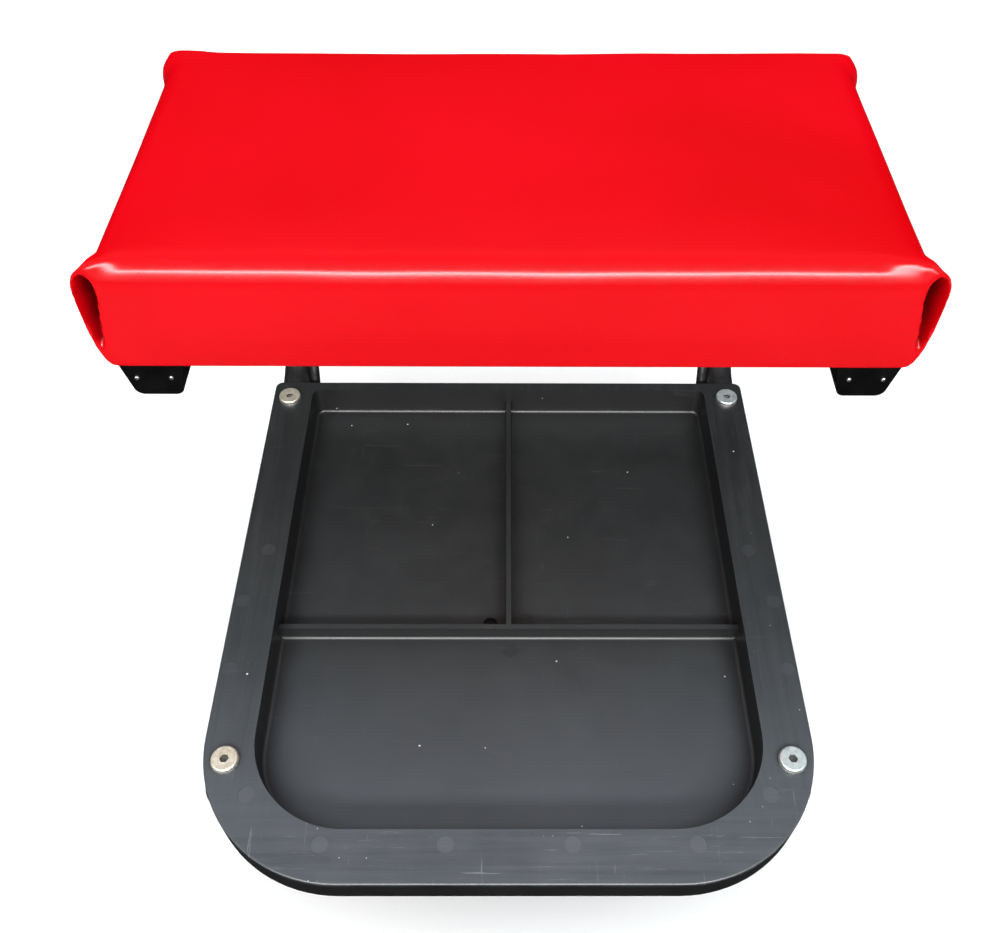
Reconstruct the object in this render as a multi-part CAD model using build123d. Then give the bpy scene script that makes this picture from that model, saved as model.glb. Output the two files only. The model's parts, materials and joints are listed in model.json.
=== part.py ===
from build123d import *
import math
import os

# Rolling creeper seat. Millimetres, floor at z = 0, x across the seat,
# round end of the tray toward -y, uprights of the frame toward +y.

# seat
seat_width = 358.0
seat_depth = 180.0
seat_thickness = 58.0
seat_top_z = 365.5
seat_front_y = -51.5
cover_thickness = 1.2
cover_return = 24.0
board_width = 340.0
board_depth = 165.0
board_thickness = 12.0
staple_width = 10.0
cover_corner_radius = 12.0
cover_top_radius = 13.0
cover_bottom_radius = 5.0

# frame tube
tube_diameter = 20.0
tube_wall = 1.5
base_x = 156.0
base_z = 90.0
rail_x = 162.0
upright_y = 200.0
bend_radius = 55.0
brace_diameter = 7.0
weld_sink = 0.3

# tool tray
tray_half_width = 168.0
tray_front_y = -210.0
tray_back_y = 144.0
tray_corner_radius = 80.0
tray_back_corner_radius = 5.0
tray_wall = 2.5
skirt_wall = 2.0
tray_rim_thickness = 2.7
tray_skirt_height = 18.0
tray_depth = 23.0
rim_width = 27.4
rim_front_width = 28.4
rim_back_width = 7.5
pocket_corner_radius = 53.8
pocket_back_radius = 6.0
divider_height = 10.5
divider_thickness = 3.2
cross_divider_y = -52.5
floor_fillet = 2.2
pin_mark_radius = 4.6
pin_mark_depth = 0.2

# casters
front_caster_y = -144.0
rear_caster_y = 128.0
caster_height = 74.0
saddle_radius = 9.6
caster_trail = 24.0
wheel_diameter = 63.5
tread_width = 21.0
tread_thickness = 6.8
hub_length = 23.6
fork_gap = 24.0
fork_thickness = 2.2
cap_radius = 17.5
ball_radius = 2.0
ball_ring_radius = 12.3
ball_z = 69.4
ball_count = 12
kingpin_radius = 6.0
running_clearance = 0.06
axle_radius = 4.0

# fasteners
bolt_radius = 4.0
bolt_length = 40.0
bolt_head_radius = 7.4
bolt_head_height = 1.9
bolt_socket = 4.6
washer_radius = 7.7
washer_thickness = 1.2
seat_bolt_radius = 3.0
seat_bolt_y = (-12.0, 92.0)

# sizes that follow from the ones above
seat_bottom_z = seat_top_z - seat_thickness
seat_middle_y = seat_front_y + seat_depth / 2
tube_radius = tube_diameter / 2
rail_z = seat_bottom_z - tube_radius
tray_top_z = base_z + tube_radius + tray_rim_thickness
tube_corner_radius = tray_corner_radius - (tray_half_width - base_x)
tube_corner_x = base_x - tube_corner_radius
tube_corner_y = tray_front_y + tray_corner_radius
front_caster_x = tube_corner_x + math.sqrt(
    tube_corner_radius**2 - (front_caster_y - tube_corner_y) ** 2
)
tray_floor_z = tray_top_z - tray_depth
board_bottom_z = seat_bottom_z + cover_thickness
wheel_radius = wheel_diameter / 2
end_cap_face_y = seat_front_y + 7.0
end_cap_wall = 3.0
end_cap_length = 16.0
end_cap_height = 22.0
caster_places = {
    "front_left": (-front_caster_x, front_caster_y),
    "front_right": (front_caster_x, front_caster_y),
    "rear_left": (-base_x, rear_caster_y),
    "rear_right": (base_x, rear_caster_y),
}
seat_bolt_places = [(side * rail_x, y) for side in (-1, 1) for y in seat_bolt_y]


def upright_cylinder(radius, bottom, top):
    """Cylinder on the z axis between two heights."""
    return Pos(0, 0, bottom) * Cylinder(
        radius, top - bottom, align=(Align.CENTER, Align.CENTER, Align.MIN)
    )


def cushion_block(shrink):
    """Upholstered block outline, pulled in on every side by a given amount."""
    width = seat_width - 2 * shrink
    depth = seat_depth - 2 * shrink
    height = seat_thickness - 2 * shrink
    block = Box(width, depth, height)
    block = fillet(block.edges().filter_by(Axis.Z), cover_corner_radius - shrink)
    block = fillet(block.edges().group_by(Axis.Z)[-1], cover_top_radius - shrink)
    block = fillet(block.edges().group_by(Axis.Z)[0], cover_bottom_radius - shrink)
    return Pos(0, seat_middle_y, seat_bottom_z + seat_thickness / 2) * block


def seat_cover():
    """Vinyl skin with an open window under the board."""
    window = Box(
        seat_width - 2 * cover_return,
        seat_depth - 2 * cover_return,
        6 * cover_thickness,
    )
    skin = cushion_block(0) - cushion_block(cover_thickness)
    skin -= Pos(0, seat_middle_y, seat_bottom_z) * window
    for x, y in seat_bolt_places:
        drill = upright_cylinder(seat_bolt_radius + 0.2, seat_bottom_z - 1, board_bottom_z + 1)
        skin -= Pos(x, y, 0) * drill
    return skin


def board_blank():
    """Plywood sheet with rounded corners."""
    blank = Box(board_width, board_depth, board_thickness)
    blank = fillet(blank.edges().filter_by(Axis.Z), 8)
    return Pos(0, seat_middle_y, board_bottom_z + board_thickness / 2) * blank


def seat_board():
    """Plywood base drilled for the four threaded inserts."""
    board = board_blank()
    for x, y in seat_bolt_places:
        board -= Pos(x, y, 0) * upright_cylinder(4.6, board_bottom_z - 1, seat_top_z)
    return board


def seat_foam():
    """Foam that fills the cover above and around the board."""
    foam = cushion_block(cover_thickness) - board_blank()
    for x, y in seat_bolt_places:
        flange_top = board_bottom_z + board_thickness + 2
        foam -= Pos(x, y, 0) * upright_cylinder(9.6, board_bottom_z, flange_top)
    return foam


def staple():
    """Upholstery staple, crown down, at the origin."""
    crown = Pos(0, 0, -0.3) * Box(staple_width, 1.0, 0.6)
    leg = Pos(staple_width / 2 - 0.4, 0, 2) * Box(0.8, 0.8, 4)
    return crown + leg + Pos(0.8 - staple_width, 0, 0) * leg


def cover_staples():
    """Row of staples round the folded-under edge of the cover."""
    inset = 15.0
    staples = []
    for step in range(-4, 5):
        for y in (seat_front_y + inset, seat_front_y + seat_depth - inset):
            staples.append(Pos(step * 32, y, seat_bottom_z) * staple())
    for step in range(-2, 3):
        for side in (-1, 1):
            x = side * (rail_x - 14.5)
            y = seat_middle_y + step * 22
            staples.append(Pos(x, y, seat_bottom_z) * Rot(0, 0, 90) * staple())
    return staples


def tee_nut():
    """Flanged threaded insert, flange on top of the board."""
    top = board_bottom_z + board_thickness
    nut = upright_cylinder(4.5, board_bottom_z + 2, top)
    nut += upright_cylinder(9.5, top, top + 1.5)
    return nut - upright_cylinder(seat_bolt_radius + 0.05, 0, seat_top_z)


def seat_bolt():
    """Flange-head bolt from under the top rail into the seat board."""
    head_top = rail_z - tube_radius + 0.4
    bolt = upright_cylinder(7, head_top - 1.6, head_top)
    hexagon = RegularPolygon(radius=5.77, side_count=6)
    bolt += Pos(0, 0, head_top - 5.5) * extrude(hexagon, 5.5)
    return bolt + upright_cylinder(seat_bolt_radius, head_top, board_bottom_z + board_thickness)


def tube_path():
    """Centre line of the one-piece bent tube."""
    front_y = tube_corner_y - tube_corner_radius
    rail_end_y = end_cap_face_y + end_cap_wall
    corner = tube_corner_radius
    half = [
        (rail_x, rail_end_y, rail_z),
        (rail_x, upright_y, rail_z),
        (base_x, upright_y, base_z),
        (base_x, front_y, base_z),
    ]
    points = half + [(-x, y, z) for x, y, z in reversed(half)]
    radii = [bend_radius, bend_radius, corner, corner, bend_radius, bend_radius]
    return FilletPolyline(*points, radius=radii)


def swept_tube(section):
    """Flat section carried along the centre line of the tube."""
    path = tube_path()
    start = Plane(origin=path @ 0, z_dir=path % 0)
    return sweep(start * section, path=path)


def frame_tube():
    """Bent tube, drilled for the caster screws and the seat bolts."""
    tube = swept_tube(Circle(tube_radius) - Circle(tube_radius - tube_wall))
    for x, y in caster_places.values():
        tube -= Pos(x, y, 0) * upright_cylinder(bolt_radius + 0.2, base_z - 15, base_z + 15)
    for x, y in seat_bolt_places:
        drill = upright_cylinder(seat_bolt_radius + 0.2, rail_z - 15, rail_z + 15)
        tube -= Pos(x, y, 0) * drill
        flat = upright_cylinder(7.2, rail_z - 15, rail_z - tube_radius + 0.4)
        tube -= Pos(x, y, 0) * flat
    return tube


def frame_brace(side):
    """Round brace bar welded across the lower bend of the tube."""
    gap = tube_radius + brace_diameter / 2 - weld_sink
    lean = (rail_x - base_x) / (rail_z - base_z)
    foot_z = base_z - 5
    head_z = base_z + 78
    foot = Vector(side * (base_x - gap), tray_back_y + 9, foot_z)
    head = Vector(side * (base_x - gap + lean * (head_z - base_z)), upright_y - 2, head_z)
    direction = (head - foot).normalized()
    bar = extrude(Plane(origin=foot, z_dir=direction) * Circle(brace_diameter / 2),
                  (head - foot).length)
    return fillet(bar.edges().filter_by(GeomType.CIRCLE), 1)


def rail_end_cap(side):
    """Tapered closure over the front end of a top rail."""
    top_half = 15.0
    bottom_half = 10.8
    profile = Polyline(
        (-top_half, 0), (top_half, 0),
        (bottom_half, -end_cap_height), (-bottom_half, -end_cap_height),
        close=True,
    )
    face = make_face(profile)
    face = fillet(face.vertices().group_by(Axis.Y)[0], 4.5)
    place = Plane(origin=(side * rail_x, end_cap_face_y, seat_bottom_z),
                  x_dir=(1, 0, 0), z_dir=(0, -1, 0))
    cap = extrude(place * face, -end_cap_length)
    bore = Pos(side * rail_x, end_cap_face_y + end_cap_wall, rail_z) * Rot(-90, 0, 0)
    cap -= bore * Cylinder(tube_radius, 40, align=(Align.CENTER, Align.CENTER, Align.MIN))
    return cap


def rivet():
    """Small domed rivet pointing toward -y, at the origin."""
    head = fillet(Cylinder(1.1, 0.8).edges().group_by(Axis.Z)[-1], 0.6)
    body = Pos(0, 0, 0.4) * head + Pos(0, 0, -1.2) * Cylinder(0.7, 2.4)
    return Rot(90, 0, 0) * body


def rail_end_rivets():
    """Two small rivets in the face of each rail end closure."""
    rivets = []
    for side in (-1, 1):
        for shift in (-7.5, 8.2):
            x = side * (rail_x + shift)
            rivets.append(Pos(x, end_cap_face_y, seat_bottom_z - 11.3) * rivet())
    return rivets


def rivet_holes(side):
    """Holes that take the rivets of one rail end closure."""
    holes = []
    for shift in (-7.5, 8.2):
        x = side * (rail_x + shift)
        place = Pos(x, end_cap_face_y + 1.2, seat_bottom_z - 11.3) * Rot(90, 0, 0)
        holes.append(place * Cylinder(0.7, 2.4))
    return holes


def drilled_end_cap(side):
    """Rail end closure with its rivet holes."""
    cap = rail_end_cap(side)
    for hole in rivet_holes(side):
        cap -= hole
    return cap


def tray_outline(inset, front_inset, back_inset, front_radius, back_radius):
    """Flat tray outline: straight back, round front corners."""
    half = tray_half_width - inset
    front = tray_front_y + front_inset
    back = tray_back_y - back_inset
    blank = Pos(0, (front + back) / 2) * Rectangle(2 * half, back - front)
    blank = fillet(blank.vertices().group_by(Axis.Y)[0], front_radius)
    return fillet(blank.vertices().group_by(Axis.Y)[-1], back_radius)


def slab(sketch, bottom, top):
    """Straight block of a flat outline between two heights."""
    return Pos(0, 0, bottom) * extrude(sketch, top - bottom)


def compartment(pocket, left, right, front, back):
    """Lower part of one tray compartment with a rounded floor edge."""
    window = Pos((left + right) / 2, (front + back) / 2) * Rectangle(right - left, back - front)
    outline = pocket & window
    hollow = slab(outline, tray_floor_z, tray_floor_z + divider_height + 1)
    return fillet(hollow.edges().group_by(Axis.Z)[0], floor_fillet)


def pin_marks():
    """Shallow round moulding marks on the rim and the floor."""
    marks = []
    for y, inset in ((-163, 28), (-88, 6), (-42, 6), (-4, 16)):
        for side in (-1, 1):
            marks.append((side * (tray_half_width - inset), y, tray_top_z))
    for x in (-98, -33, 33, 98):
        marks.append((x, tray_front_y + 20.5, tray_top_z))
    marks.append((1, cross_divider_y - 10.5, tray_floor_z))
    marks.append((10.5, cross_divider_y + 11, tray_floor_z))
    tools = []
    for x, y, z in marks:
        tools.append(Pos(x, y, 0) * upright_cylinder(pin_mark_radius, z - pin_mark_depth, z + 1))
    deep = Pos(-11.5, cross_divider_y + 8, 0)
    tools.append(deep * upright_cylinder(4.4, tray_floor_z - 1.6, tray_floor_z + 1))
    return tools


def tool_tray():
    """Moulded tray: hollow rim over the tube, sunken floor, low dividers."""
    rim_bottom = tray_top_z - tray_rim_thickness
    skirt_bottom = tray_top_z - tray_skirt_height
    wall = tray_wall
    skirt = skirt_wall
    corner = tray_corner_radius
    pocket = tray_outline(
        rim_width, rim_front_width, rim_back_width, pocket_corner_radius, pocket_back_radius
    )
    basin = tray_outline(
        rim_width - wall,
        rim_front_width - wall,
        rim_back_width - wall,
        pocket_corner_radius + wall,
        pocket_back_radius + wall,
    )
    outer = tray_outline(0, 0, 0, corner, tray_back_corner_radius)
    inner = tray_outline(skirt, skirt, skirt, corner - skirt, tray_back_corner_radius - skirt)
    tray = slab(outer, rim_bottom, tray_top_z)
    tray = fillet(tray.edges().group_by(Axis.Z)[-1], 1.2)
    tray += slab(outer - inner, skirt_bottom, rim_bottom)
    tray += slab(basin, tray_floor_z - wall, tray_top_z - 0.5)
    tray -= slab(pocket, tray_floor_z + divider_height, tray_top_z + 1)
    half = tray_half_width - rim_width
    gap = divider_thickness / 2
    tray -= compartment(pocket, -half, half, tray_front_y, cross_divider_y - gap)
    tray -= compartment(pocket, -half, -gap, cross_divider_y + gap, tray_back_y)
    tray -= compartment(pocket, gap, half, cross_divider_y + gap, tray_back_y)
    for side in (-1, 1):
        notch = Box(tube_diameter + 0.8, 16, 40, align=(Align.CENTER, Align.CENTER, Align.MAX))
        tray -= Pos(side * base_x, tray_back_y, rim_bottom) * notch
    for x, y in caster_places.values():
        tray -= Pos(x, y, 0) * upright_cylinder(bolt_radius + 0.2, rim_bottom - 1, tray_top_z + 1)
    for mark in pin_marks():
        tray -= mark
    return tray


def caster_bolt():
    """Flat-headed socket screw down through rim, tube and caster."""
    seat_z = tray_top_z + washer_thickness
    head = upright_cylinder(bolt_head_radius, seat_z, seat_z + bolt_head_height)
    head = fillet(head.edges().group_by(Axis.Z)[-1], 0.9)
    hexagon = RegularPolygon(radius=bolt_socket / math.sqrt(3), side_count=6)
    bolt = head - Pos(0, 0, seat_z + bolt_head_height - 3.2) * extrude(hexagon, 4)
    return bolt + upright_cylinder(bolt_radius, seat_z - bolt_length, seat_z)


def bolt_washer():
    """Plain washer under a screw head."""
    ring = upright_cylinder(washer_radius, tray_top_z, tray_top_z + washer_thickness)
    return ring - upright_cylinder(bolt_radius + 0.2, 0, 200)


def saddle_spacers():
    """Spacers with a round seat for the tube and a flat face for the caster."""
    tube = swept_tube(Circle(tube_radius))
    block = upright_cylinder(saddle_radius, caster_height, base_z - 4)
    block -= upright_cylinder(bolt_radius + 0.2, 0, 200)
    return [Pos(x, y, 0) * block - tube for x, y in caster_places.values()]


def caster_cap():
    """Upper bearing plate of a caster with its ball groove."""
    cap = upright_cylinder(cap_radius, 66.4, caster_height)
    cap = fillet(cap.edges().group_by(Axis.Z)[-1], 2)
    cap -= upright_cylinder(cap_radius - 2, 60, 70.0)
    cap -= upright_cylinder(kingpin_radius, 60, 80)
    return cap - Pos(0, 0, ball_z) * Torus(ball_ring_radius, ball_radius + 0.05)


def caster_balls():
    """Ring of bearing balls."""
    balls = []
    for step in range(ball_count):
        turn = Rot(0, 0, 360 * step / ball_count)
        balls.append(turn * Pos(ball_ring_radius, 0, ball_z) * Sphere(ball_radius))
    return balls


def kingpin():
    """Threaded sleeve that clamps the swivel bearing together."""
    pin = upright_cylinder(kingpin_radius, 62.2, caster_height)
    pin += upright_cylinder(9.5, 62.2, 64.7)
    return pin - upright_cylinder(bolt_radius + 0.05, 60, 80)


def fork_leg():
    """One flat side of the wheel fork, thickness across x."""
    top_z = 66.0
    outline = Polyline(
        (-9.8, top_z), (9.8, top_z),
        (caster_trail + 10.5, wheel_radius + 6), (caster_trail + 8, wheel_radius - 8),
        (caster_trail - 8, wheel_radius - 8), (caster_trail - 13, wheel_radius + 2),
        close=True,
    )
    face = make_face(outline)
    lower = face.vertices().sort_by(Axis.Y)[:4]
    face = fillet(lower, 4.5)
    leg = extrude(Plane.YZ * face, fork_thickness)
    return leg


def caster_fork():
    """Swivelling fork: bearing disc with two legs."""
    fork = upright_cylinder(cap_radius, 64.8, 66.0)
    fork += upright_cylinder(cap_radius - 2.6, 64.8, 68.8)
    for x in (fork_gap / 2, -fork_gap / 2 - fork_thickness):
        fork += Pos(x, 0, 0) * fork_leg()
    fork -= upright_cylinder(kingpin_radius + running_clearance, 60, 80)
    fork -= Pos(0, 0, ball_z) * Torus(ball_ring_radius, ball_radius + 0.05)
    axle_hole = Pos(0, caster_trail, wheel_radius) * Rot(0, 90, 0)
    return fork - axle_hole * Cylinder(axle_radius + 0.05, 80)


def caster_axle():
    """Hex-head axle bolt through the fork and the wheel."""
    outside = fork_gap / 2 + fork_thickness
    hexagon = RegularPolygon(radius=7.5, side_count=6)
    head = extrude(hexagon, 5.2)
    shank = Pos(0, 0, -2 * outside - 8) * Cylinder(
        axle_radius, 2 * outside + 8, align=(Align.CENTER, Align.CENTER, Align.MIN)
    )
    bolt = head + shank
    return Pos(outside, caster_trail, wheel_radius) * Rot(0, 90, 0) * bolt


def axle_nut():
    """Lock nut on the free end of the axle bolt."""
    outside = fork_gap / 2 + fork_thickness
    hexagon = RegularPolygon(radius=7.5, side_count=6) - Circle(axle_radius + 0.05)
    nut = extrude(hexagon, 6.5)
    return Pos(-outside, caster_trail, wheel_radius) * Rot(0, -90, 0) * nut


def on_axle(solid):
    """Move a solid built round z to the wheel axle."""
    return Pos(0, caster_trail, wheel_radius) * Rot(0, 90, 0) * solid


def wheel_tread():
    """Rubber tyre bonded to the hub."""
    tyre = Cylinder(wheel_radius, tread_width)
    tyre = fillet(tyre.edges(), 3)
    return on_axle(tyre - Cylinder(wheel_radius - tread_thickness, 60))


def wheel_hub():
    """Moulded hub with boss, web, ribs and rim."""
    rim_radius = wheel_radius - tread_thickness
    hub = Cylinder(rim_radius, tread_width - 3) - Cylinder(rim_radius - 3, 60)
    hub += Cylinder(rim_radius - 2.5, 4)
    hub += Cylinder(9, hub_length)
    for step in range(6):
        rib = Box(rim_radius - 4, 2.2, tread_width - 6, align=(Align.MIN, Align.CENTER, Align.CENTER))
        hub += Rot(0, 0, 60 * step) * rib
    return on_axle(hub - Cylinder(axle_radius + running_clearance, 60))


def save(name, shape):
    """Write one node."""
    solids = shape if isinstance(shape, list) else [shape]
    export_step(Compound(children=list(solids)), "parts/" + name + ".step")


def save_group(name, builder, places):
    """Write one node that holds the same solid at several places."""
    save(name, [Pos(x, y, 0) * builder() for x, y in places])


os.makedirs("parts", exist_ok=True)
save("seat_cover", seat_cover())
save("seat_foam", seat_foam())
save("seat_board", seat_board())
save("cover_staples", cover_staples())
save_group("seat_tee_nuts", tee_nut, seat_bolt_places)
save_group("seat_bolts", seat_bolt, seat_bolt_places)
save("frame_tube", frame_tube())
save("rail_end_rivets", rail_end_rivets())
for side, word in ((-1, "left"), (1, "right")):
    save("frame_brace_" + word, frame_brace(side))
    save("rail_end_cap_" + word, drilled_end_cap(side))
save("tool_tray", tool_tray())
save_group("caster_bolts", caster_bolt, caster_places.values())
save_group("bolt_washers", bolt_washer, caster_places.values())
save("saddle_spacers", saddle_spacers())
for corner, (x, y) in caster_places.items():
    place = Pos(x, y, 0)
    save("caster_cap_" + corner, place * caster_cap())
    save("caster_balls_" + corner, [place * ball for ball in caster_balls()])
    save("kingpin_" + corner, place * kingpin())
    save("caster_fork_" + corner, place * caster_fork())
    save("caster_axle_" + corner, place * caster_axle())
    save("axle_nut_" + corner, place * axle_nut())
    save("wheel_tread_" + corner, place * wheel_tread())
    save("wheel_hub_" + corner, place * wheel_hub())
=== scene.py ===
import json
import math

import bmesh
import bpy
from mathutils import Matrix, Vector, kdtree, noise


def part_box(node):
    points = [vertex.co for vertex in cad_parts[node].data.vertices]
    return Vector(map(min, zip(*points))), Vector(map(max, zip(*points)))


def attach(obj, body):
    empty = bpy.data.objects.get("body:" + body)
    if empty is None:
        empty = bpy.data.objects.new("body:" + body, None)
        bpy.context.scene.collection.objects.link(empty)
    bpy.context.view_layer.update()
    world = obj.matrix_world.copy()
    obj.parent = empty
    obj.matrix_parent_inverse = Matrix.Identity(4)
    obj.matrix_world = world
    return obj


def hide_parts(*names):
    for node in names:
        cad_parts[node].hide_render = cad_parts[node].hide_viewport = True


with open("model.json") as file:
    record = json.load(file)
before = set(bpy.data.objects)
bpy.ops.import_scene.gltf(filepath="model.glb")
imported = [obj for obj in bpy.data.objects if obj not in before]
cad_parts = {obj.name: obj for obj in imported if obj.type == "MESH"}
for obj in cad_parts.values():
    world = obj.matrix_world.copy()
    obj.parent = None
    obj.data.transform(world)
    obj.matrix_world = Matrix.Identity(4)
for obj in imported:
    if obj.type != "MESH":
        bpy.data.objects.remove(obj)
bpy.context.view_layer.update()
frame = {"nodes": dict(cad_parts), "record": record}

scene = bpy.context.scene
scene.view_settings.view_transform = "Standard"
MM = 0.001


# ---------------------------------------------------------------- camera and studio

CAMERA_AT = (-0.00294547, -0.36722743, 0.62074089)
CAMERA_YAW, CAMERA_PITCH, CAMERA_ROLL = 0.00941, 0.89452, 0.00932
CAMERA_LENS = 35.91207
CAMERA_SHIFT = (-0.0101153, 0.0185468)

# Softboxes, in metres. The key lights diffuse surfaces and the sheen, at the same place, only reflections.
KEY_AT, KEY_AIM = (0.0, -1.46, 1.31), (0, -0.05, 0.36)
TOP_AT, TOP_AIM, TOP_SIZE = (0.0, -0.25, 2.2), (0, -0.2, 0.1), (3.2, 2.0)
FILL_SIDES = {"front": (0, -3, 1.8), "behind": (0, 3, 1.8), "left": (-3, 0, 1.8), "right": (3, 0, 1.8)}
WORLD_LIGHT = 0.10
BACKDROP_SHOWN = 0.78
FLOOR_HALF = 30


def make_camera():
    data = bpy.data.cameras.new("camera")
    data.sensor_width = 36
    data.lens = CAMERA_LENS
    data.shift_x, data.shift_y = CAMERA_SHIFT
    data.clip_start = 0.01
    camera = bpy.data.objects.new("camera", data)
    scene.collection.objects.link(camera)
    cy, sy = math.cos(CAMERA_YAW), math.sin(CAMERA_YAW)
    cp, sp = math.cos(CAMERA_PITCH), math.sin(CAMERA_PITCH)
    cr, sr = math.cos(CAMERA_ROLL), math.sin(CAMERA_ROLL)
    forward = Vector((sy * cp, cy * cp, -sp))
    level = Vector((cy, -sy, 0))
    above = level.cross(forward)
    right = cr * level + sr * above
    up = -sr * level + cr * above
    turn = Matrix((right, up, -forward)).transposed().to_4x4()
    turn.translation = Vector(CAMERA_AT)
    camera.matrix_world = turn
    scene.camera = camera


def softbox(name, at, aim, size, power, color=(1, 1, 1)):
    data = bpy.data.lights.new(name, "AREA")
    data.shape = "RECTANGLE"
    data.size, data.size_y = size
    data.energy = power
    data.color = color
    light = bpy.data.objects.new(name, data)
    scene.collection.objects.link(light)
    light.location = at
    light.rotation_euler = (Vector(aim) - Vector(at)).to_track_quat("-Z", "Y").to_euler()
    return light


def make_studio():
    world = bpy.data.worlds.new("studio")
    scene.world = world
    world.use_nodes = True
    nodes, links = world.node_tree.nodes, world.node_tree.links
    fill = nodes["Background"]
    fill.inputs["Color"].default_value = (1, 1, 1, 1)
    fill.inputs["Strength"].default_value = WORLD_LIGHT
    backdrop = nodes.new("ShaderNodeBackground")
    backdrop.inputs["Color"].default_value = (1, 1, 1, 1)
    backdrop.inputs["Strength"].default_value = BACKDROP_SHOWN
    shown = nodes.new("ShaderNodeMixShader")
    links.new(nodes.new("ShaderNodeLightPath").outputs["Is Camera Ray"], shown.inputs[0])
    links.new(fill.outputs[0], shown.inputs[1])
    links.new(backdrop.outputs[0], shown.inputs[2])
    links.new(shown.outputs[0], nodes["World Output"].inputs["Surface"])
    world.cycles_visibility.glossy = False
    for name, at in FILL_SIDES.items():
        softbox("fill_" + name, at, (0, 0, 0.2), (4.0, 3.0), 24).visible_glossy = False
    softbox("key", KEY_AT, KEY_AIM, (2.2, 0.32), 28).visible_glossy = False
    softbox("sheen", KEY_AT, KEY_AIM, (2.2, 0.29), 165).visible_diffuse = False
    softbox("top", TOP_AT, TOP_AIM, TOP_SIZE, 13, (0.94, 0.98, 1.0))
    softbox("top_fill", TOP_AT, TOP_AIM, TOP_SIZE, 78, (0.92, 0.97, 1.0)).visible_glossy = False
    softbox("back", (0.0, 1.5, 3.0), (0, 0.6, 0), (2.4, 1.2), 28).visible_glossy = False
    softbox("warm_side", (-1.6, -0.1, 1.5), (0, -0.1, 0.15), (0.8, 0.8), 4, (1, 0.88, 0.74))
    softbox("cool_side", (1.6, -0.1, 1.5), (0, -0.1, 0.15), (0.8, 0.8), 4, (0.78, 0.92, 1))


# ---------------------------------------------------------------- node helpers

class Look:
    """A material and short ways to add its nodes. Vectors are the object's own coordinates, in metres."""

    def __init__(self, name):
        self.material = bpy.data.materials.new(name)
        self.material.use_nodes = True
        self.tree = self.material.node_tree
        self.shader = self.tree.nodes["Principled BSDF"]
        self.coords = self.node("ShaderNodeTexCoord").outputs["Object"]

    def node(self, kind, **settings):
        made = self.tree.nodes.new(kind)
        for key, value in settings.items():
            setattr(made, key, value)
        return made

    def put(self, socket, value):
        if isinstance(value, bpy.types.NodeSocket):
            self.tree.links.new(value, socket)
        elif isinstance(value, (tuple, list)) and len(value) == 3 and socket.type == "RGBA":
            socket.default_value = (*value, 1)
        else:
            socket.default_value = value

    def set(self, **sockets):
        for key, value in sockets.items():
            self.put(self.shader.inputs[key.replace("_", " ")], value)

    def stretched(self, scale, turn=(0, 0, 0), shift=(0, 0, 0)):
        made = self.node("ShaderNodeMapping")
        self.put(made.inputs["Vector"], self.coords)
        made.inputs["Scale"].default_value = scale
        made.inputs["Rotation"].default_value = turn
        made.inputs["Location"].default_value = shift
        return made.outputs["Vector"]

    def noise(self, scale, detail=2.0, rough=0.5, distort=0.0, vector=None):
        made = self.node("ShaderNodeTexNoise")
        self.put(made.inputs["Vector"], vector or self.coords)
        made.inputs["Scale"].default_value = scale
        made.inputs["Detail"].default_value = detail
        made.inputs["Roughness"].default_value = rough
        made.inputs["Distortion"].default_value = distort
        return made.outputs["Fac"]

    def cells(self, scale, feature="F1", vector=None, randomness=1.0):
        made = self.node("ShaderNodeTexVoronoi", feature=feature)
        self.put(made.inputs["Vector"], vector or self.coords)
        made.inputs["Scale"].default_value = scale
        made.inputs["Randomness"].default_value = randomness
        return made

    def span(self, value, low, high, out_low=0.0, out_high=1.0):
        made = self.node("ShaderNodeMapRange")
        self.put(made.inputs["Value"], value)
        made.inputs["From Min"].default_value = low
        made.inputs["From Max"].default_value = high
        made.inputs["To Min"].default_value = out_low
        made.inputs["To Max"].default_value = out_high
        return made.outputs["Result"]

    def math(self, operation, a, b=0.0):
        made = self.node("ShaderNodeMath", operation=operation)
        self.put(made.inputs[0], a)
        self.put(made.inputs[1], b)
        return made.outputs[0]

    def mix(self, amount, a, b):
        made = self.node("ShaderNodeMix", data_type="RGBA")
        self.put(made.inputs["Factor"], amount)
        self.put(made.inputs[6], a)
        self.put(made.inputs[7], b)
        return made.outputs[2]

    def axis(self, name):
        made = self.node("ShaderNodeSeparateXYZ")
        self.put(made.inputs[0], self.coords)
        return made.outputs[name]

    def bump(self, height, strength, distance, under=None):
        made = self.node("ShaderNodeBump")
        self.put(made.inputs["Height"], height)
        made.inputs["Strength"].default_value = strength
        made.inputs["Distance"].default_value = distance
        if under is not None:
            self.put(made.inputs["Normal"], under)
        return made.outputs["Normal"]


# ---------------------------------------------------------------- materials

TRAY_RIM_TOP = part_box("tool_tray")[1].z
TRAY_FLOOR_TOP = [m for m in frame["record"]["mounts"] if m["name"] == "tray_floor"][0]["pos_m"][2]


def vinyl_look():
    look = Look("red_vinyl")
    tone = look.span(look.noise(7, 2, 0.5, 0.4), 0.35, 0.65)
    color = look.mix(tone, (0.62, 0.0004, 0.0050), (0.56, 0.0002, 0.0025))
    # Painted shade: ambient occlusion turns the cover deep red in its folds, creases and corner pockets.
    shade = look.node("ShaderNodeAmbientOcclusion", samples=8)
    shade.inputs["Distance"].default_value = 11 * MM
    painted_fold_shade = look.span(shade.outputs["AO"], 0.22, 0.62)
    look.set(Base_Color=look.mix(painted_fold_shade, (0.10, 0.0, 0.0010), color))
    look.set(Roughness=look.span(look.noise(420, 2, 0.6), 0.3, 0.7, 0.23, 0.27))
    look.shader.inputs["Specular IOR Level"].default_value = 0.18
    look.shader.inputs["Specular Tint"].default_value = (1.0, 0.85, 0.88, 1)
    drape = look.bump(look.noise(14, 1.5, 0.4, 0.5), 0.05, 3 * MM)
    grain = look.bump(look.noise(1100, 2, 0.5), 0.06, 0.10 * MM, drape)
    look.set(Normal=grain)
    return look.material


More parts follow.
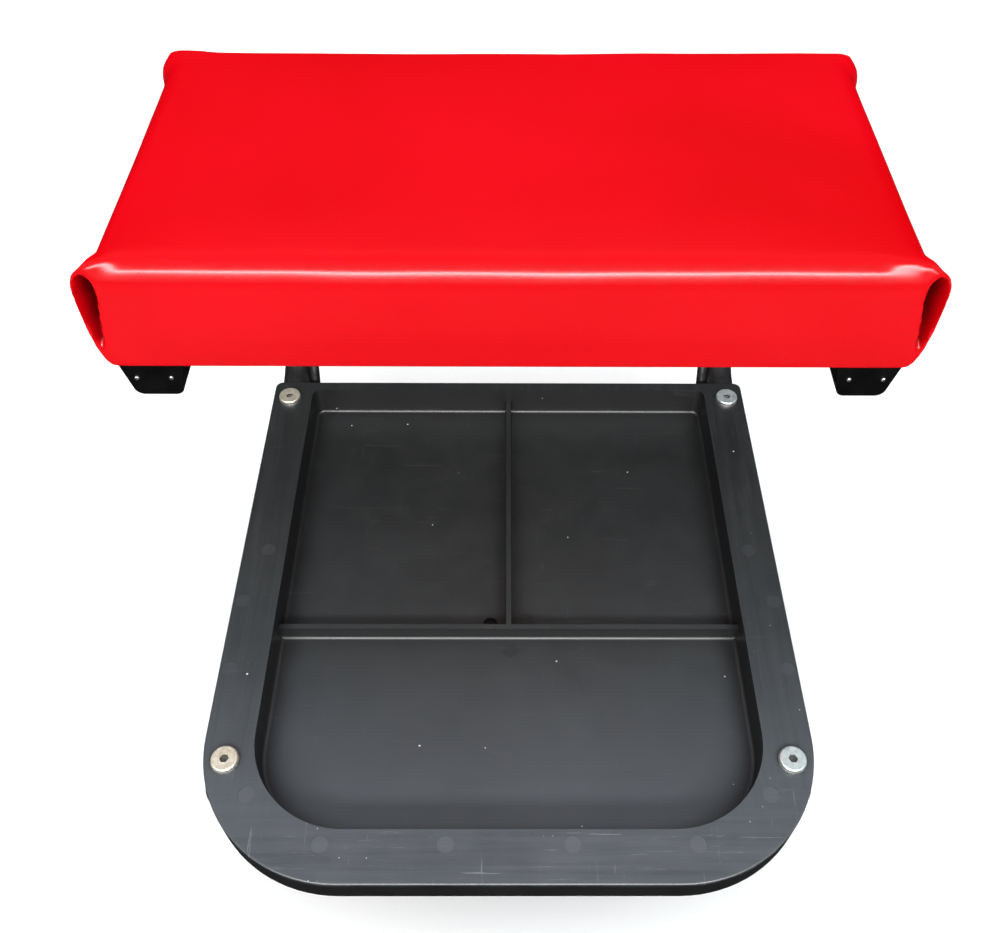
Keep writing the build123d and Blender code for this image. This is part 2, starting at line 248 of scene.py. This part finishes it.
def tray_look():
    look = Look("satin_black_plastic")
    rim_z = TRAY_RIM_TOP
    height = look.axis("Z")
    cloud = look.span(look.noise(9, 4, 0.6, 0.6), 0.3, 0.7)
    base = look.mix(cloud, (0.0190, 0.0222, 0.0243), (0.0250, 0.0290, 0.0316))
    # Painted light: the tray's colour is lighter towards the front as a painted sheen, and darker towards the
    # rear as the seat's painted shadow.
    painted_front_sheen_fade = look.span(look.axis("Y"), -0.170, -0.060)
    rear = look.span(look.axis("Y"), -0.060, 0.090)
    base = look.mix(painted_front_sheen_fade, look.mix(cloud, (0.0420, 0.0490, 0.0570), (0.0530, 0.0610, 0.0710)), base)
    base = look.mix(rear, base, look.mix(cloud, (0.0088, 0.0098, 0.0101), (0.0125, 0.0138, 0.0142)))
    # Painted shade: upright faces, the tray's walls and skirt, are coloured near-black.
    upward = look.node("ShaderNodeSeparateXYZ")
    look.put(upward.inputs[0], look.node("ShaderNodeNewGeometry").outputs["Normal"])
    painted_wall_shade = look.span(look.math("ABSOLUTE", upward.outputs["Z"]), 0.75, 0.25)
    base = look.mix(painted_wall_shade, base, (0.0050, 0.0052, 0.0056))
    # Painted shade: ambient occlusion darkens the tray in its corners and along the feet of its walls.
    painted_corner_shade = look.node("ShaderNodeAmbientOcclusion", samples=8)
    painted_corner_shade.inputs["Distance"].default_value = 18 * MM
    base = look.mix(look.span(painted_corner_shade.outputs["AO"], 0.50, 0.92), (0.0085, 0.0092, 0.0098), base)
    along = look.noise(1.0, 5, 0.7, 0.25, look.stretched((22, 520, 60), (0, 0, 0.30)))
    across = look.noise(1.0, 5, 0.7, 0.25, look.stretched((460, 26, 60), (0, 0, -0.22)))
    slanted = look.noise(1.0, 5, 0.7, 0.25, look.stretched((30, 640, 60), (0, 0, 1.05), (0.3, 0.1, 0)))
    scratch = look.math("MAXIMUM", look.span(along, 0.635, 0.69), look.span(across, 0.645, 0.70))
    scratch = look.math("MAXIMUM", scratch, look.span(slanted, 0.65, 0.70))
    front = look.span(look.axis("Y"), -0.130, -0.190)
    high = look.span(height, rim_z - 4 * MM, rim_z - 2 * MM)
    front_rim = look.math("MULTIPLY", front, high)
    worn = look.math("MULTIPLY", front_rim, look.span(look.noise(38, 4, 0.6), 0.40, 0.66))
    strength = look.math("ADD", look.math("MULTIPLY", front_rim, 0.38), 0.06)
    scratch_here = look.math("MULTIPLY", scratch, strength)
    speck = look.cells(88)
    dot = look.span(speck.outputs["Distance"], 0.060, 0.036)
    few = look.span(speck.outputs["Color"], 0.74, 0.75)
    dust = look.math("MULTIPLY", dot, few)
    grit = look.cells(260)
    grit_few = look.span(grit.outputs["Color"], 0.80, 0.81)
    grit_dot = look.math("MULTIPLY", look.span(grit.outputs["Distance"], 0.11, 0.06), grit_few)
    grit_here = look.math("MULTIPLY", grit_dot, look.math("ADD", look.math("MULTIPLY", front_rim, 0.5), 0.06))
    mark_rim = look.math("MULTIPLY", look.span(height, rim_z - 0.26 * MM, rim_z - 0.23 * MM),
                         look.span(height, rim_z - 0.10 * MM, rim_z - 0.14 * MM))
    floor_z = TRAY_FLOOR_TOP
    mark_floor = look.math("MULTIPLY", look.span(height, floor_z - 0.26 * MM, floor_z - 0.23 * MM),
                           look.span(height, floor_z - 0.10 * MM, floor_z - 0.14 * MM))
    # Painted shade: the band from 0.9 to 2.0 mm under the floor top is coloured near-black, which darkens the
    # blind recess in the floor.
    recess_shade_top = look.span(height, TRAY_FLOOR_TOP - 0.7 * MM, TRAY_FLOOR_TOP - 0.9 * MM)
    recess_shade_foot = look.span(height, TRAY_FLOOR_TOP - 2.3 * MM, TRAY_FLOOR_TOP - 2.0 * MM)
    painted_recess_shade = look.math("MULTIPLY", recess_shade_top, recess_shade_foot)
    streaks_across = look.noise(1.0, 5, 0.7, 0.3, look.stretched((7, 210, 60)))
    streaks_along = look.noise(1.0, 5, 0.7, 0.3, look.stretched((210, 8, 60)))
    streak = look.math("ADD", look.math("MULTIPLY", streaks_across, front),
                       look.math("MULTIPLY", streaks_along, look.math("SUBTRACT", 1.0, front)))
    strong = look.math("MULTIPLY", high, look.span(front, 0, 1, 0.35, 1.0))
    haze = look.math("MULTIPLY", strong, look.span(streak, 0.48, 0.68, 0.0, 0.26))
    dull = look.math("MULTIPLY", high, look.span(streak, 0.46, 0.32, 0.0, 0.36))
    base = look.mix(haze, base, (0.105, 0.114, 0.126))
    base = look.mix(dull, base, (0.012, 0.013, 0.014))
    color = look.mix(look.math("MULTIPLY", worn, 0.28), base, (0.075, 0.082, 0.090))
    color = look.mix(scratch_here, color, (0.24, 0.25, 0.26))
    mark_strength = look.span(front, 0, 1, 0.12, 0.45)
    color = look.mix(look.math("MULTIPLY", mark_rim, mark_strength), color, (0.088, 0.094, 0.102))
    color = look.mix(look.math("MULTIPLY", mark_floor, 0.4), color, (0.012, 0.013, 0.014))
    color = look.mix(look.math("MAXIMUM", dust, grit_here), color, (0.62, 0.63, 0.62))
    color = look.mix(painted_recess_shade, color, (0.003, 0.003, 0.003))
    look.set(Base_Color=color)
    rough = look.span(look.noise(60, 5, 0.65), 0.3, 0.7, 0.40, 0.50)
    rough = look.math("ADD", rough, look.math("MULTIPLY", scratch_here, 0.2))
    look.set(Roughness=look.math("ADD", rough, look.math("MULTIPLY", painted_recess_shade, 0.4)))
    look.shader.inputs["Specular IOR Level"].default_value = 0.45
    mould = look.bump(look.noise(900, 3, 0.6), 0.16, 0.12 * MM)
    flow = look.bump(look.noise(22, 2, 0.5, 0.8), 0.05, 1.2 * MM, mould)
    look.set(Normal=look.bump(scratch, 0.12, 0.05 * MM, flow))
    return look.material


def paint_look():
    look = Look("black_powder_coat")
    tone = look.span(look.noise(30, 4, 0.6), 0.35, 0.65)
    look.set(Base_Color=look.mix(tone, (0.010, 0.010, 0.010), (0.018, 0.018, 0.019)))
    look.set(Roughness=look.span(look.noise(140, 3), 0.3, 0.7, 0.24, 0.36))
    peel = look.bump(look.noise(520, 2, 0.5), 0.14, 0.14 * MM)
    look.set(Normal=look.bump(look.noise(60, 2), 0.06, 0.6 * MM, peel))
    return look.material


def black_plastic_look(name, color_a, color_b, low, high, grain, gloss=0.5):
    look = Look(name)
    look.shader.inputs["Specular IOR Level"].default_value = gloss
    tone = look.span(look.noise(40, 4, 0.6, 0.3), 0.35, 0.65)
    drawn_out = look.stretched((60, 500, 90), (0.3, 0.2, 0.5))
    scuff = look.span(look.noise(1.0, 5, 0.7, 0.4, drawn_out), 0.68, 0.74)
    base = look.mix(tone, color_a, color_b)
    look.set(Base_Color=look.mix(look.math("MULTIPLY", scuff, 0.25), base, (0.12, 0.12, 0.12)))
    look.set(Roughness=look.span(look.noise(120, 3), 0.3, 0.7, low, high))
    look.set(Normal=look.bump(look.noise(grain, 3, 0.6), 0.2, 0.12 * MM))
    return look.material


def zinc_look():
    look = Look("bright_zinc_plate")
    tone = look.span(look.noise(160, 4, 0.6, 0.5), 0.3, 0.7)
    bloom = look.span(look.noise(60, 5, 0.7), 0.55, 0.75)
    base = look.mix(tone, (0.62, 0.62, 0.60), (0.80, 0.80, 0.77))
    look.set(Base_Color=look.mix(look.math("MULTIPLY", bloom, 0.5), base, (0.48, 0.46, 0.42)))
    look.set(Metallic=1.0)
    look.set(Roughness=look.span(look.noise(300, 4, 0.6), 0.3, 0.7, 0.26, 0.42))
    brushed = look.noise(1.0, 4, 0.6, 0.2, look.stretched((900, 900, 5000)))
    look.set(Normal=look.bump(brushed, 0.12, 0.05 * MM))
    return look.material


def bolt_look():
    """Zinc on the tray's screws: a painted warm light tint on the left, a painted cool one on the right, and
    painted shade below the heads' top, down in the sockets.
    """
    look = Look("zinc_screw_heads")
    head_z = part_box("caster_bolts")[1].z
    height = look.axis("Z")
    # Painted light: a warm tint on the left screws and a cool tint on the right, split by x. The mottle on
    # top is real staining.
    side = look.span(look.axis("X"), -0.05, 0.05)
    painted_light_tint = look.mix(side, (0.88, 0.82, 0.70), (0.72, 0.80, 0.80))
    stain_and_painted_tint = look.mix(side, (0.62, 0.52, 0.36), (0.46, 0.52, 0.52))
    mottle = look.span(look.noise(420, 4, 0.65, 0.4), 0.45, 0.68, 0.0, 0.75)
    # Painted shade: below the top 0.7 mm of the heads, in the sockets and down the heads' sides, the zinc
    # turns near-black.
    painted_shade_below_top = look.span(height, head_z - 0.7 * MM, head_z - 1.5 * MM, 0.0, 0.96)
    look.set(Base_Color=look.mix(painted_shade_below_top, look.mix(mottle, painted_light_tint, stain_and_painted_tint), (0.010, 0.009, 0.008)))
    look.set(Metallic=look.span(painted_shade_below_top, 0.0, 0.96, 0.85, 0.1))
    look.set(Roughness=look.span(look.noise(500, 4, 0.6), 0.3, 0.7, 0.34, 0.52))
    look.set(Normal=look.bump(look.noise(1300, 3, 0.6), 0.2, 0.06 * MM))
    return look.material


def steel_look():
    look = Look("bare_bearing_steel")
    tone = look.span(look.noise(500, 3, 0.6), 0.3, 0.7)
    look.set(Base_Color=look.mix(tone, (0.45, 0.45, 0.46), (0.62, 0.62, 0.63)))
    look.set(Metallic=1.0)
    look.set(Roughness=look.span(look.noise(700, 2), 0.3, 0.7, 0.14, 0.26))
    look.set(Normal=look.bump(look.noise(1800, 2), 0.06, 0.03 * MM))
    return look.material


def rubber_look():
    look = Look("black_tread_rubber")
    tone = look.span(look.noise(70, 4, 0.6), 0.35, 0.65)
    dust = look.span(look.noise(220, 5, 0.7), 0.58, 0.72)
    base = look.mix(tone, (0.020, 0.020, 0.020), (0.032, 0.031, 0.030))
    look.set(Base_Color=look.mix(look.math("MULTIPLY", dust, 0.35), base, (0.10, 0.095, 0.088)))
    look.set(Roughness=look.span(look.noise(160, 3), 0.3, 0.7, 0.62, 0.80))
    look.set(Normal=look.bump(look.noise(1200, 3, 0.6), 0.3, 0.15 * MM))
    return look.material


def plywood_look():
    look = Look("raw_plywood")
    grain = look.noise(1.0, 6, 0.7, 1.2, look.stretched((9, 160, 40)))
    ring = look.noise(1.0, 3, 0.5, 2.5, look.stretched((4, 34, 34)))
    base = look.mix(look.span(ring, 0.35, 0.65), (0.50, 0.34, 0.19), (0.66, 0.49, 0.30))
    look.set(Base_Color=look.mix(look.span(grain, 0.45, 0.7, 0, 0.55), base, (0.30, 0.18, 0.09)))
    plies = look.node("ShaderNodeTexWave", wave_type="BANDS", bands_direction="Z")
    look.put(plies.inputs["Vector"], look.coords)
    plies.inputs["Scale"].default_value = 130
    look.set(Roughness=look.span(look.noise(300, 3), 0.3, 0.7, 0.62, 0.8))
    lines = look.bump(grain, 0.25, 0.25 * MM)
    look.set(Normal=look.bump(plies.outputs["Fac"], 0.1, 0.1 * MM, lines))
    return look.material


def foam_look():
    look = Look("upholstery_foam")
    cell = look.cells(900).outputs["Distance"]
    look.set(Base_Color=look.mix(look.span(cell, 0.1, 0.6), (0.55, 0.47, 0.27), (0.76, 0.69, 0.47)))
    look.set(Roughness=look.span(cell, 0.1, 0.6, 0.95, 0.8))
    look.set(Normal=look.bump(cell, 0.5, 0.4 * MM))
    return look.material


def floor_look():
    look = Look("pale_floor")
    tone = look.span(look.noise(3, 2), 0.3, 0.7)
    look.set(Base_Color=look.mix(tone, (0.93, 0.93, 0.93), (0.95, 0.95, 0.95)))
    look.set(Roughness=look.span(look.noise(5, 2), 0.3, 0.7, 0.85, 0.9))
    look.shader.inputs["Specular IOR Level"].default_value = 0.1
    return look.material


CAP_BLACKS = ((0.0016, 0.0016, 0.0016), (0.0030, 0.0030, 0.0030))
HUB_BLACKS = ((0.016, 0.016, 0.016), (0.026, 0.026, 0.026))
LOOKS = {
    "vinyl": vinyl_look(),
    "foam": foam_look(),
    "plywood": plywood_look(),
    "frame_paint": paint_look(),
    "tray_plastic": tray_look(),
    "cap_plastic": black_plastic_look("moulded_cap_plastic", *CAP_BLACKS, 0.40, 0.55, 700, 0.08),
    "hub_plastic": black_plastic_look("moulded_black_nylon", *HUB_BLACKS, 0.38, 0.52, 800),
    "zinc_steel": zinc_look(),
    "bearing_steel": steel_look(),
    "tread_rubber": rubber_look(),
}
BOLT_LOOK = bolt_look()


def paint_cad_nodes():
    slots = {part["node"]: part["material_slot"] for part in frame["record"]["subparts"]}
    for name, node in frame["nodes"].items():
        look = BOLT_LOOK if name == "caster_bolts" else LOOKS[slots[name]]
        if not node.material_slots:
            node.data.materials.append(look)
        for place in node.material_slots:
            place.material = look


# ---------------------------------------------------------------- the padded seat

COVER_LOW, COVER_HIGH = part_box("seat_cover")
BOARD_LOW, BOARD_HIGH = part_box("seat_board")
SEAT_MIDDLE = (COVER_LOW + COVER_HIGH) / 2

SIDE_INSET = 4.4 * MM
TOP_RADIUS = 12.5 * MM
CORNER_RADIUS = 2.4 * MM
BOTTOM_RADIUS = 3.6 * MM
PUFF_LIMIT = 1.0 * MM
COVER_RETURN = 24 * MM


def new_object(name, mesh):
    made = bpy.data.objects.new(name, mesh)
    scene.collection.objects.link(made)
    return made


def apply_modifiers(obj):
    bpy.context.view_layer.update()
    shaped = obj.evaluated_get(bpy.context.evaluated_depsgraph_get())
    mesh = bpy.data.meshes.new_from_object(shaped)
    obj.modifiers.clear()
    obj.data = mesh


def remesh(obj, size):
    step = obj.modifiers.new("remesh", "REMESH")
    step.mode = "VOXEL"
    step.voxel_size = size
    apply_modifiers(obj)


def cut(obj, cutter):
    step = obj.modifiers.new("cut", "BOOLEAN")
    step.operation = "DIFFERENCE"
    step.solver = "EXACT"
    step.object = cutter
    apply_modifiers(obj)
    bpy.data.objects.remove(cutter)


def soften(obj, rounds, factor=0.5):
    step = obj.modifiers.new("soften", "SMOOTH")
    step.factor = factor
    step.iterations = rounds
    apply_modifiers(obj)


def seat_block():
    low = COVER_LOW + Vector((SIDE_INSET, 0.4 * MM, 0))
    high = COVER_HIGH - Vector((SIDE_INSET, 0.4 * MM, 1.4 * MM))
    bm = bmesh.new()
    bmesh.ops.create_cube(bm, size=1.0)
    for v in bm.verts:
        v.co = Vector([(low[i] if v.co[i] < 0 else high[i]) for i in range(3)])

    def edges_at(test):
        return [e for e in bm.edges if all(test(v.co) for v in e.verts)]

    upright = [e for e in bm.edges if abs(e.verts[0].co.z - e.verts[1].co.z) > 0.01]
    bmesh.ops.bevel(bm, geom=upright, offset=CORNER_RADIUS, segments=5, profile=0.5, affect="EDGES")
    top = edges_at(lambda c: c.z > high.z - 1e-6)
    bmesh.ops.bevel(bm, geom=top, offset=TOP_RADIUS, segments=8, profile=0.5, affect="EDGES",
                    clamp_overlap=False)
    bottom = edges_at(lambda c: c.z < low.z + 1e-6)
    bmesh.ops.bevel(bm, geom=bottom, offset=BOTTOM_RADIUS, segments=4, profile=0.5, affect="EDGES")
    mesh = bpy.data.meshes.new("seat_cushion")
    bm.to_mesh(mesh)
    bm.free()
    return new_object("seat_cushion", mesh)


def puffed(block):
    """How far the cover swells over its foam: rest points and their capped moves, from a cloth simulation."""
    cloth_obj = new_object("puff", block.data.copy())
    remesh(cloth_obj, 5 * MM)
    rest = [v.co.copy() for v in cloth_obj.data.vertices]
    held = cloth_obj.vertex_groups.new(name="held")
    held.add([i for i, p in enumerate(rest) if p.z < COVER_LOW.z + 7 * MM], 1.0, "REPLACE")
    cloth = cloth_obj.modifiers.new("cloth", "CLOTH")
    s = cloth.settings
    s.quality = 6
    s.mass = 0.35
    s.tension_stiffness = s.compression_stiffness = 25
    s.shear_stiffness = 12
    s.bending_stiffness = 4
    s.use_pressure = True
    s.uniform_pressure_force = 4
    s.effector_weights.gravity = 0
    s.vertex_group_mass = "held"
    cloth.point_cache.frame_start, cloth.point_cache.frame_end = 1, 20
    for step in range(1, 21):
        scene.frame_set(step)
    shaped = cloth_obj.evaluated_get(bpy.context.evaluated_depsgraph_get()).to_mesh()
    moves = []
    for v, p in zip(shaped.vertices, rest):
        d = v.co - p
        if d.length > 1e-9:
            d = d.normalized() * PUFF_LIMIT * math.tanh(d.length / PUFF_LIMIT)
        moves.append(d)
    scene.frame_set(1)
    bpy.data.objects.remove(cloth_obj)
    return rest, moves


def crown(co):
    u = (co.x - SEAT_MIDDLE.x) / (COVER_HIGH.x - SEAT_MIDDLE.x)
    v = (co.y - SEAT_MIDDLE.y) / (COVER_HIGH.y - SEAT_MIDDLE.y)
    return max(0.0, 1 - u ** 4) * max(0.0, 1 - v * v)


def smooth(t):
    t = min(1.0, max(0.0, t))
    return t * t * (3 - 2 * t)


# how far the folded corner stands out sideways at heights above the seat's lower edge
EAR_HEIGHTS = (
    (0.0, 2.0), (3.0, 3.0), (7.0, 4.8), (14.0, 6.2), (24.0, 7.2), (38.0, 7.7), (48.0, 7.3), (53.0, 6.2),
    (58.5, 2.8),
)
# how far back from the front face the fold runs, at heights above the seat's lower edge
EAR_RUNS = ((0.0, 24.0), (46.0, 23.0), (54.0, 14.0), (60.0, 13.0))
EAR_REAR_RUN = 24 * MM
EAR_REAR_SHARE = 0.62


def between(table, at):
    for (x0, y0), (x1, y1) in zip(table, table[1:]):
        if at <= x1:
            return y0 + (y1 - y0) * smooth((at - x0) / (x1 - x0)) if at > x0 else y0
    return table[-1][1]


def ear_reach(co):
    up = between(EAR_HEIGHTS, (co.z - COVER_LOW.z) / MM) * MM
    run = between(EAR_RUNS, (co.z - COVER_LOW.z) / MM) * MM
    front = smooth((COVER_LOW.y + run - co.y) / (run * 0.85))
    rear = smooth((co.y - COVER_HIGH.y + EAR_REAR_RUN) / (EAR_REAR_RUN * 0.6)) * EAR_REAR_SHARE
    side = smooth((abs(co.x - SEAT_MIDDLE.x) - 0.160) / 0.014)
    return up * max(front, rear) * side


# the open fold seen from the front, (reach in from the ear's outer side, height above the seat's lower edge)
POCKET = (
    (3.6, 49.6), (6.0, 51.6), (9.0, 51.0), (11.4, 48.6), (12.4, 46.0), (12.2, 41.0), (10.8, 33.0),
    (9.2, 24.0), (8.0, 16.0), (7.2, 10.0), (6.6, 7.0), (5.6, 9.5), (4.3, 15.0), (3.1, 22.0), (2.4, 32.0),
    (2.2, 40.0), (2.6, 46.0),
)
POCKET_LAYERS = ((-6.0, 1.0), (0.0, 1.0), (3.0, 0.92), (7.0, 0.74), (12.0, 0.52), (18.0, 0.34), (24.0, 0.12))
POCKET_ANCHOR = (11.0, 42.0)
EAR_OUTER = 183.0 * MM


def pocket(side, end):
    """A funnel-shaped cutter for one corner: side is -1 left, 1 right; end is -1 front, 1 rear."""
    bm = bmesh.new()
    loops = []
    reach = EAR_OUTER if end < 0 else EAR_OUTER - 2.2 * MM
    face_y = COVER_LOW.y if end < 0 else COVER_HIGH.y
    for depth, share in POCKET_LAYERS:
        loop = []
        for across, height in POCKET:
            a = POCKET_ANCHOR[0] + (across - POCKET_ANCHOR[0]) * share
            h = POCKET_ANCHOR[1] + (height - POCKET_ANCHOR[1]) * share
            x = side * (reach - a * MM)
            loop.append(bm.verts.new((x, face_y - end * depth * MM, COVER_LOW.z + h * MM)))
        loops.append(loop)
    count = len(POCKET)
    for near, far in zip(loops, loops[1:]):
        for i in range(count):
            j = (i + 1) % count
            bm.faces.new((near[i], near[j], far[j], far[i]))
    bm.faces.new(loops[0])
    bm.faces.new(loops[-1])
    bmesh.ops.recalc_face_normals(bm, faces=bm.faces)
    mesh = bpy.data.meshes.new("pocket")
    bm.to_mesh(mesh)
    bm.free()
    return new_object("pocket", mesh)


def box_cutter(low, high):
    bm = bmesh.new()
    bmesh.ops.create_cube(bm, size=1.0)
    for v in bm.verts:
        v.co = Vector([(low[i] if v.co[i] < 0 else high[i]) for i in range(3)])
    mesh = bpy.data.meshes.new("box_cutter")
    bm.to_mesh(mesh)
    bm.free()
    return new_object("box_cutter", mesh)


def make_seat():
    seat = seat_block()
    field = puffed(seat)
    remesh(seat, 2.4 * MM)
    if field:
        rest, moves = field
        tree = kdtree.KDTree(len(rest))
        for i, p in enumerate(rest):
            tree.insert(p, i)
        tree.balance()
    for v in seat.data.vertices:
        co = v.co.copy()
        lift = smooth((co.z - COVER_LOW.z - 4 * MM) / (16 * MM))
        move = Vector((0, 0, 0))
        if field:
            weight = 0.0
            for _, i, d in tree.find_n(co, 48):
                w = 1 / (d + 12 * MM)
                move += moves[i] * w
                weight += w
            move *= lift / weight
        top = smooth((co.z - COVER_HIGH.z + 16 * MM) / (12 * MM))
        move.z += top * (1.6 * MM * crown(co) + 0.35 * MM * noise.noise(co * 22))
        outward = 1 if co.x > SEAT_MIDDLE.x else -1
        move.x += outward * ear_reach(co)
        v.co = co + move
    for side in (-1, 1):
        for end in (-1, 1):
            cut(seat, pocket(side, end))
    remesh(seat, (1.1) * MM)
    soften(seat, 2)
    for v in seat.data.vertices:
        if v.co.z < COVER_LOW.z + 0.6 * MM:
            v.co.z = COVER_LOW.z
    gap = Vector((0.2, 0.2, 0.1)) * MM
    cut(seat, box_cutter(BOARD_LOW - gap, BOARD_HIGH + gap))
    edge = Vector((COVER_RETURN, COVER_RETURN, 0))
    below = Vector((0, 0, 6 * MM))
    cut(seat, box_cutter(BOARD_LOW + edge - below, BOARD_HIGH - edge - Vector((0, 0, 4 * MM))))
    seat.data.shade_smooth()
    seat.data.set_sharp_from_angle(angle=math.radians(50))
    seat.data.materials.clear()
    seat.data.materials.append(LOOKS["vinyl"])
    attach(seat, "root")
    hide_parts("seat_cover", "seat_foam")
    return seat


def make_floor():
    bm = bmesh.new()
    bmesh.ops.create_grid(bm, x_segments=8, y_segments=8, size=FLOOR_HALF)
    mesh = bpy.data.meshes.new("floor")
    bm.to_mesh(mesh)
    bm.free()
    floor = new_object("floor", mesh)
    floor.data.materials.append(floor_look())
    floor.visible_glossy = False


make_camera()
make_studio()
make_floor()
paint_cad_nodes()
make_seat()
